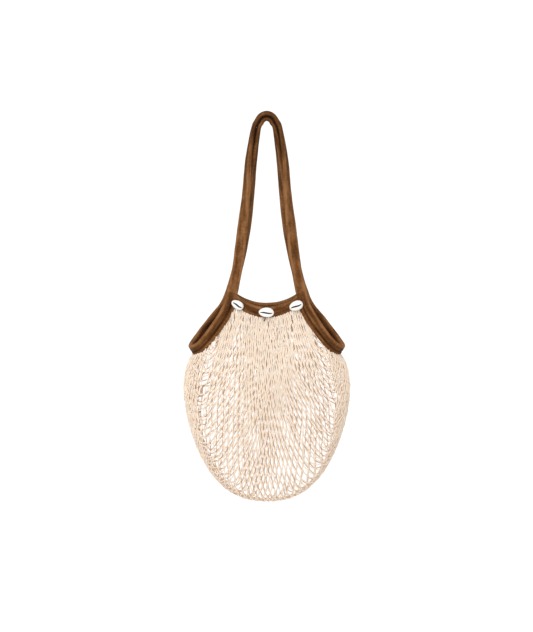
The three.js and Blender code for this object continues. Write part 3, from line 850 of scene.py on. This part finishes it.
def net_places(stations, share):
    """Places on the pouch at shares of the way down from the mouth to the bottom."""
    falls = np.linspace(0, 1, 161)
    fall = np.zeros(len(stations))
    for i, station in enumerate(stations):
        path = net_form(np.full(len(falls), station), falls)
        lengths = path_lengths(path)
        fall[i] = np.interp(share[i] * lengths[-1], lengths, falls)
    return net_form(stations, fall)


def gather(legs, values, count, sign):
    """Adds leg values up at both knots of every leg."""
    total = np.zeros((count, 3))
    for k in range(3):
        total[:, k] += np.bincount(legs[:, 0], values[:, k], count)
        total[:, k] += sign * np.bincount(legs[:, 1], values[:, k], count)
    return total


MOUTH_SCATTER, FIRST_SCATTER = 0.1, 0.3  # stations and lengths by which knots stray at first
KNOT_SCATTER = np.array([0.25, 0.25, 2.4])  # and once the meshes are even
EDGE_TUCK = 2.5  # how deep the net's edge lies in the binding
EVEN_STEPS, EVEN_PULL = 3, 0.25  # steps that even the meshes out
SETTLE_STEPS = 240  # steps that draw in legs that are too long
OVERSHOOT = 1.7  # how far a step goes; 1 goes just far enough
FORM_STEP, LAST_STEPS = 3, 3  # the net is laid on its form every few steps, and after each last one


def hang_sheet(grid):
    """First places of the knots on the pouch, their mouth stations, and which are bound in."""
    u = grid[:, 0] / MESHES_ACROSS - 1
    v = 2 * grid[:, 1] / HALF_ROWS - 1
    stations, share, pinned = sheet_places(u, v)
    stations = stations + rng.normal(0, MOUTH_SCATTER, len(stations))
    points = net_places(stations, share)
    tucked = at_mouth(MOUTH_LIPS, stations) - EDGE_TUCK * at_mouth(MOUTH_INWARD, stations)
    points[pinned] = tucked[pinned]
    points[~pinned] += rng.normal(0, FIRST_SCATTER, (np.count_nonzero(~pinned), 3))
    return points, stations, pinned


def leg_pulls(points, legs, slack_pull):
    """How far legs that are too long draw each knot, and others by a share of their length."""
    span = points[legs[:, 1]] - points[legs[:, 0]]
    length = np.linalg.norm(span, axis=1, keepdims=True)
    pull = 0.5 * np.where(length > LEG, length - LEG, slack_pull * length) * span / length
    degree = np.bincount(legs.ravel(), minlength=len(points))[:, None]
    return gather(legs, pull, len(points), -1) * OVERSHOOT / degree


def settle_net():
    """Hangs the sheet of net on the mouth and over the pouch's form."""
    grid, legs, slants = net_knots()
    points, stations, pinned = hang_sheet(grid)
    tree = form_tree()
    loose = np.flatnonzero(~pinned)
    normals = np.zeros_like(points)
    steps = EVEN_STEPS + SETTLE_STEPS
    for step in range(steps):
        points[loose] += leg_pulls(points, legs, EVEN_PULL if step < EVEN_STEPS else 0)[loose]
        if step == EVEN_STEPS:
            points[loose] += KNOT_SCATTER * rng.normal(0, 1, (len(loose), 3))
        if step % FORM_STEP == 0 or step >= steps - LAST_STEPS:
            for i in loose:
                points[i], normals[i], _, _ = tree.find_nearest(points[i])
    normals[pinned] = at_mouth(MOUTH_OUTWARD, stations[pinned])
    inside_out = dot(normals, points - np.array([0, 0, BELLY_Z])) < 0
    normals = np.where(inside_out & ~pinned[:, None], -normals, normals)
    return points, normals, legs, slants, pinned


LEG_PARTS = 5  # lengths that each leg of a strand is drawn in
CROSSING = 0.45  # how far crossing strands stand off their knot, as a share of their radius
LARGEST_BOW = 1.5
SIDE_BOW = 0.16  # spread of the bows aside, as a share of the slackest
OUT_BOW, OUT_SPREAD = 0.05, 0.22  # bow outwards, and its spread
DOWN_BOW = 0.5  # largest bow down of a level leg
HEADING_REACH = 0.7  # how far into a leg the headings at its knots carry


def knot_rings(points, normals, legs, slants):
    """Middles and headings of strands at every knot, for the two slants."""
    middles, headings = [], []
    span = unit(points[legs[:, 1]] - points[legs[:, 0]])
    for slant in (1, -1):
        ours = slants == slant
        heading = gather(legs[ours], span[ours], len(points), 1)
        headings.append(heading + 1e-9 * np.array([[0.3, 0.2, -1]]))
        middles.append(points + slant * CROSSING * STRAND_RADIUS * normals)
    return np.array(middles), unit(np.array(headings))


def leg_bows(span, normal):
    """How far every leg bows aside, outwards and down, by its slack."""
    length = np.linalg.norm(span, axis=1)
    side = unit(np.cross(span, normal))
    slack = np.clip(LEG - length, 0.05, 3)
    # A shallow arc with this slack is about so high.
    loose = np.minimum(LARGEST_BOW, np.sqrt(0.375 * length * slack))
    bow = (loose * rng.normal(0, SIDE_BOW, len(span)))[:, None] * side
    bow = bow + (loose * rng.normal(OUT_BOW, OUT_SPREAD, len(span)))[:, None] * normal
    bow[:, 2] -= DOWN_BOW * loose * np.abs(side[:, 2]) * rng.uniform(0.3, 1, len(span))
    return bow


def leg_paths(start, end, start_way, end_way, bow):
    t = (np.arange(LEG_PARTS + 1) / LEG_PARTS)[None, :, None]
    reach = HEADING_REACH * np.linalg.norm(end - start, axis=1)[:, None, None]
    path = (2 * t**3 - 3 * t**2 + 1) * start[:, None] + (3 * t**2 - 2 * t**3) * end[:, None]
    path = path + (t**3 - 2 * t**2 + t) * reach * start_way[:, None]
    return path + (t**3 - t**2) * reach * end_way[:, None] + 4 * t * (1 - t) * bow[:, None]


def strand_spokes(heading, normal):
    side = unit(np.cross(normal, heading))
    return ring_spokes(side, np.cross(heading, side))


def strand_faces(ring, length):
    """Quads along every leg, and their UVs: turns round it and length along it."""
    count, parts = len(ring), LEG_PARTS
    j = np.arange(STRAND_SIDES)
    after = (j + 1) % STRAND_SIDES
    low, high = ring[:, :-1, None] * STRAND_SIDES, ring[:, 1:, None] * STRAND_SIDES
    faces = np.stack([low + j, low + after, high + after, high + j], axis=-1)
    begin = rng.uniform(0, 20, count)[:, None] + length[:, None] * np.arange(parts) / parts
    uv = np.zeros((count, parts, STRAND_SIDES, 4, 2))
    uv[..., 0] = (j[:, None] + np.array([0, 1, 1, 0])) / STRAND_SIDES
    uv[..., 1] = begin[:, :, None, None] + (length / parts)[:, None, None, None] * np.array([0, 0, 1, 1])
    return faces, uv


def strand_caps(ring):
    """Quads that close a piece's strands, at the rings that only one of its legs has."""
    uses = np.bincount(ring[:, [0, -1]].ravel())
    quads = cap_quads(STRAND_SIDES)
    starts = ring[uses[ring[:, 0]] == 1, 0]
    stops = ring[uses[ring[:, -1]] == 1, -1]
    start_caps = starts[:, None, None] * STRAND_SIDES + quads[:, ::-1]
    stop_caps = stops[:, None, None] * STRAND_SIDES + quads
    return np.concatenate([start_caps, stop_caps]).reshape(-1, 4)


def strand_tubes(points, normals, legs, slants):
    """Points round all strands, ring numbers along every leg, and the legs' ends."""
    middles, headings = knot_rings(points, normals, legs, slants)
    family = np.where(slants > 0, 0, 1)
    first, last = legs.T
    start, end = middles[family, first], middles[family, last]
    normal = unit(normals[first] + normals[last])
    bow = leg_bows(end - start, normal)
    path = leg_paths(start, end, headings[family, first], headings[family, last], bow)
    way = unit(path[:, 2:] - path[:, :-2])
    knot_spokes = strand_spokes(headings, normals[None])
    leg_spokes = strand_spokes(way, normal[:, None])
    spokes = np.concatenate([knot_spokes.reshape(-1, 3), leg_spokes.reshape(-1, 3)])
    centres = np.concatenate([middles.reshape(-1, 3), path[:, 1:-1].reshape(-1, 3)])
    corners = np.repeat(centres, STRAND_SIDES, axis=0) + STRAND_RADIUS * spokes
    ring = np.zeros((len(legs), LEG_PARTS + 1), dtype=int)
    ring[:, 0] = family * len(points) + first
    ring[:, 1:-1] = 2 * len(points) + np.arange(path[:, 1:-1].size // 3).reshape(len(legs), -1)
    ring[:, -1] = family * len(points) + last
    return corners, ring, start, end


def add_net():
    points, normals, legs, slants, pinned = settle_net()
    corners, ring, start, end = strand_tubes(points, normals, legs, slants)
    faces, uv = strand_faces(ring, np.linalg.norm(end - start, axis=1))
    # Painted shade: a strand's side that faces into the pouch is coloured darker and warmer.
    round_strand = np.sin(TAU * np.arange(STRAND_SIDES) / STRAND_SIDES)
    facing_out = np.tile(round_strand, len(corners) // STRAND_SIDES)
    behind = start[:, 1] + end[:, 1] > 0
    for name, ours in (("net_strands_front", ~behind), ("net_strands_back", behind)):
        caps = strand_caps(ring[ours])
        quads = np.concatenate([faces[ours].reshape(-1, 4), caps])
        quad_uv = np.concatenate([uv[ours].reshape(-1, 2), np.zeros((caps.size, 2))])
        used, numbers = np.unique(quads.ravel(), return_inverse=True)
        values = {"facing_out": facing_out[used]}
        piece = add_mesh(name, corners[used], numbers.reshape(-1, 4), quad_uv, values)
        finish_piece(piece, COTTON, "cotton_net", "net_body")
    back = points[:, 1] > 0
    add_knots("net_knots_front", points, normals, legs, ~pinned & ~back)
    add_knots("net_knots_back", points, normals, legs, ~pinned & back)


KNOT_ROUND = 8  # points along a knot's turn of cord
KNOT_SIDES = 6  # and round the cord
KNOT_RADIUS = 0.6
KNOT_STRAND = 0.65  # the cord's radius
KNOT_WIDTH = 1.25  # how much wider than high the turn is
KNOT_TILT = 0.25  # how unevenly the turns lie


def add_knots(name, points, normals, legs, keep):
    """A turn of cord round every knot of the net."""
    heading = gather(legs, points[legs[:, 1]] - points[legs[:, 0]], len(points), 1)
    heading, middle, normal = unit(heading[keep]), points[keep], normals[keep]
    heading = unit(heading + rng.normal(0, KNOT_TILT, heading.shape))
    side = unit(np.cross(heading, normal))
    lift = np.cross(side, heading)
    turn = (TAU * np.arange(KNOT_ROUND) / KNOT_ROUND)[:, None]
    spoke = np.cos(turn) * side[:, None] * KNOT_WIDTH + np.sin(turn) * lift[:, None]
    round_angle = (TAU * np.arange(KNOT_SIDES) / KNOT_SIDES)[:, None]
    offset = np.cos(round_angle) * spoke[:, :, None] + np.sin(round_angle) * heading[:, None, None]
    rings = middle[:, None, None] + KNOT_RADIUS * spoke[:, :, None] + KNOT_STRAND * offset
    # Painted shade on the side of each knot that faces into the pouch.
    facing_out = np.clip(dot(offset, normal[:, None, None]), -1, 1)
    i, j = grid_cells(KNOT_ROUND, KNOT_SIDES)
    next_i, next_j = (i + 1) % KNOT_ROUND, (j + 1) % KNOT_SIDES
    faces = np.stack([i, i, next_i, next_i], 1) * KNOT_SIDES + np.stack([j, next_j, next_j, j], 1)
    turns = np.stack([j, j + 1, j + 1, j], 1) / KNOT_SIDES
    uv = np.stack([turns, np.stack([i, i, i + 1, i + 1], 1)], axis=-1)
    offsets = KNOT_ROUND * KNOT_SIDES * np.arange(len(middle))
    all_faces = (faces[None] + offsets[:, None, None]).reshape(-1, 4)
    all_uv = np.tile(uv.reshape(-1, 2), (len(middle), 1))
    piece = add_mesh(name, rings.reshape(-1, 3), all_faces, all_uv, {"facing_out": facing_out.ravel()})
    finish_piece(piece, COTTON, "cotton_net")


# Cowrie shells.

SHELL_LONG = 96  # steps along a shell
SHELL_WIDE = 64  # and across it
DOME_POWER = 2.6  # larger is a flatter dome
EGG_SHARE = 0.1  # how much one end is fuller
SLIT_REACH = 0.8  # length of the slit, as a share of the shell's
SLIT_HALF_WIDTH = 1.1
SLIT_DEPTH = 2.6
SLIT_BEND = -0.45
SLIT_EDGE = 0.35  # width of the slit's edge
SLIT_END, SLIT_FADE = 1.12, 0.2  # where the lips end, in half lengths of the slit
LIP = 1.3  # how far the lips round over into the slit
LIP_DROP = 0.5
SLIT_TEETH = 12
TOOTH = 0.22
TOOTH_SHADE = 0.25
BASE_SHARE = 0.93  # width of the flat base, as a share of the rim's
BASE_DEPTH = 0.6  # how far the base lies behind the rim


def shell_form(length, width):
    """Points of a dome with a toothed slit along it, and shares of painted shade in the slit and between
    its teeth.
    """
    s = np.linspace(-1, 1, SHELL_LONG + 1)[:, None]
    even = np.linspace(-1, 1, SHELL_WIDE + 1)[None]
    t = 0.45 * even + 0.55 * even**3
    disc_x = s * np.sqrt(1 - t**2 / 2)
    disc_y = t * np.sqrt(1 - s**2 / 2)
    out = np.minimum(1, np.hypot(disc_x, disc_y))
    x = length / 2 * disc_x
    y = width / 2 * disc_y * (1 + EGG_SHARE * disc_x)
    height = SHELL_HEIGHT * (1 - out**DOME_POWER) ** 0.5
    slit_place = disc_x / SLIT_REACH
    open_half = SLIT_HALF_WIDTH * np.sqrt(np.clip(1 - slit_place**2, 0, 1))
    away = np.abs(y - SLIT_BEND * np.sin(slit_place * math.pi))
    near_slit = eased((SLIT_END - np.abs(slit_place)) / SLIT_FADE)
    inside = eased((open_half - away) / SLIT_EDGE + 0.5) * near_slit
    lip = bell(np.maximum(away - open_half, 0) / LIP) * near_slit
    teeth = np.cos(TAU * SLIT_TEETH * slit_place / 2) ** 2
    height = height - SLIT_DEPTH * inside - LIP_DROP * lip - TOOTH * teeth * lip
    # Painted shade: near black in the slit's opening, and a little in the grooves between its teeth.
    slit = np.clip(inside + TOOTH_SHADE * teeth * lip**4, 0, 1)
    return np.stack([x, y, np.maximum(height, 0)], axis=-1), slit


def rim_loop(rows, columns):
    """Vertex numbers round the edge of a grid, in order."""
    last_row, last_column = rows - 1, columns - 1
    low = np.arange(rows) * columns
    right = last_row * columns + np.arange(1, columns)
    high = (last_row - np.arange(1, rows)) * columns + last_column
    left = last_column - np.arange(1, last_column)
    return np.concatenate([low, right, high, left])


def closed_shell(length, width):
    """Points, faces and slit shares of a shell, its dome closed by a flat base."""
    points, slit = shell_form(length, width)
    rows, columns = slit.shape
    points, slit = points.reshape(-1, 3), slit.ravel()
    i, j = grid_cells(rows - 1, columns - 1)
    corner = i * columns + j
    dome = np.stack([corner, corner + columns, corner + columns + 1, corner + 1], axis=1)
    rim = rim_loop(rows, columns)
    base_start = len(points)
    base = points[rim] * [BASE_SHARE, BASE_SHARE, 0] - [0, 0, BASE_DEPTH]
    middle = base_start + len(rim)
    points = np.concatenate([points, base, [[0, 0, -BASE_DEPTH]]])
    slit = np.concatenate([slit, np.zeros(len(rim) + 1)])
    here = np.arange(len(rim))
    after = (here + 1) % len(rim)
    wall = np.stack([rim, base_start + here, base_start + after, rim[after]], axis=1)
    fan = np.stack([base_start + here, np.full(len(rim), middle), base_start + after], axis=1)
    return points, [*dome.tolist(), *wall.tolist(), *fan.tolist()], slit


def add_shell(name, x, z, length, width, tilt, seat):
    points, faces, slit = closed_shell(length, width)
    tilted = math.radians(tilt)
    face_x = points[:, 0] * math.cos(tilted) - points[:, 1] * math.sin(tilted)
    face_z = points[:, 0] * math.sin(tilted) + points[:, 1] * math.cos(tilted)
    front = -(COLLAR_Y + COLLAR_THICK / 2 + seat)
    placed = np.stack([x + face_x, front - points[:, 2], z + face_z], axis=-1)
    piece = add_mesh(name + "_cowrie", placed, faces, values={"slit": slit})
    finish_piece(piece, PORCELAIN, "cowrie_shell", name)


# Stage, light and camera.

FLOOR_Z = -1150  # so low that the bag's shadow falls outside the frame
FLOOR_REACH = 60000
WORLD_STRENGTH = 0.72


def add_stage():
    signs = [[-1, -1], [1, -1], [1, 1], [-1, 1]]
    corners = [[FLOOR_REACH * x, FLOOR_REACH * y, FLOOR_Z] for x, y in signs]
    floor = add_mesh("floor", corners, [[0, 1, 2, 3]])
    floor.data.materials.append(floor_material())
    world = bpy.data.worlds.new("studio")
    bpy.context.scene.world = world
    world.use_nodes = True
    background = world.node_tree.nodes["Background"]
    background.inputs["Color"].default_value = (1, 1, 1, 1)
    background.inputs["Strength"].default_value = WORLD_STRENGTH


def look_rotation(way):
    return Vector(way).to_track_quat("-Z", "Y").to_euler()


def add_light(name, azimuth, elevation, softness, strength):
    """A broad, far light; azimuth 0 is over the camera and negative is to its left."""
    light = bpy.data.lights.new(name, "SUN")
    light.angle = math.radians(softness)
    light.energy = strength
    lamp = add_object(name, light)
    turn, rise = math.radians(azimuth), math.radians(elevation)
    flat = math.cos(rise)
    lamp.rotation_euler = look_rotation((-flat * math.sin(turn), flat * math.cos(turn), -math.sin(rise)))


def add_camera():
    camera = bpy.data.cameras.new("photo_view")
    camera.sensor_width = SENSOR
    camera.lens = SENSOR * VIEW_DISTANCE / (IMAGE_HEIGHT * MM_PER_PIXEL)
    camera.clip_end = 100
    eye = add_object("photo_view", camera)
    right = (IMAGE_WIDTH / 2 - HANG_PIXEL[0]) * MM_PER_PIXEL
    down = (IMAGE_HEIGHT / 2 - HANG_PIXEL[1]) * MM_PER_PIXEL / math.cos(VIEW_ELEVATION)
    target = np.array([right, 0, -down])
    back = np.array([0, -math.cos(VIEW_ELEVATION), math.sin(VIEW_ELEVATION)])
    eye.location = (target + VIEW_DISTANCE * back) * MM
    eye.rotation_euler = look_rotation(-back)
    bpy.context.scene.camera = eye


add_camera()
add_stage()
add_light("key", azimuth=-16, elevation=50, softness=35, strength=1.8)
add_light("fill", azimuth=160, elevation=30, softness=70, strength=0.5)
bpy.context.scene.view_settings.view_transform = "Standard"
add_straps()
add_side_bindings()
add_collars()
add_stitches()
add_thread_tail()
add_net()
for shell in SHELLS:
    add_shell(**shell)
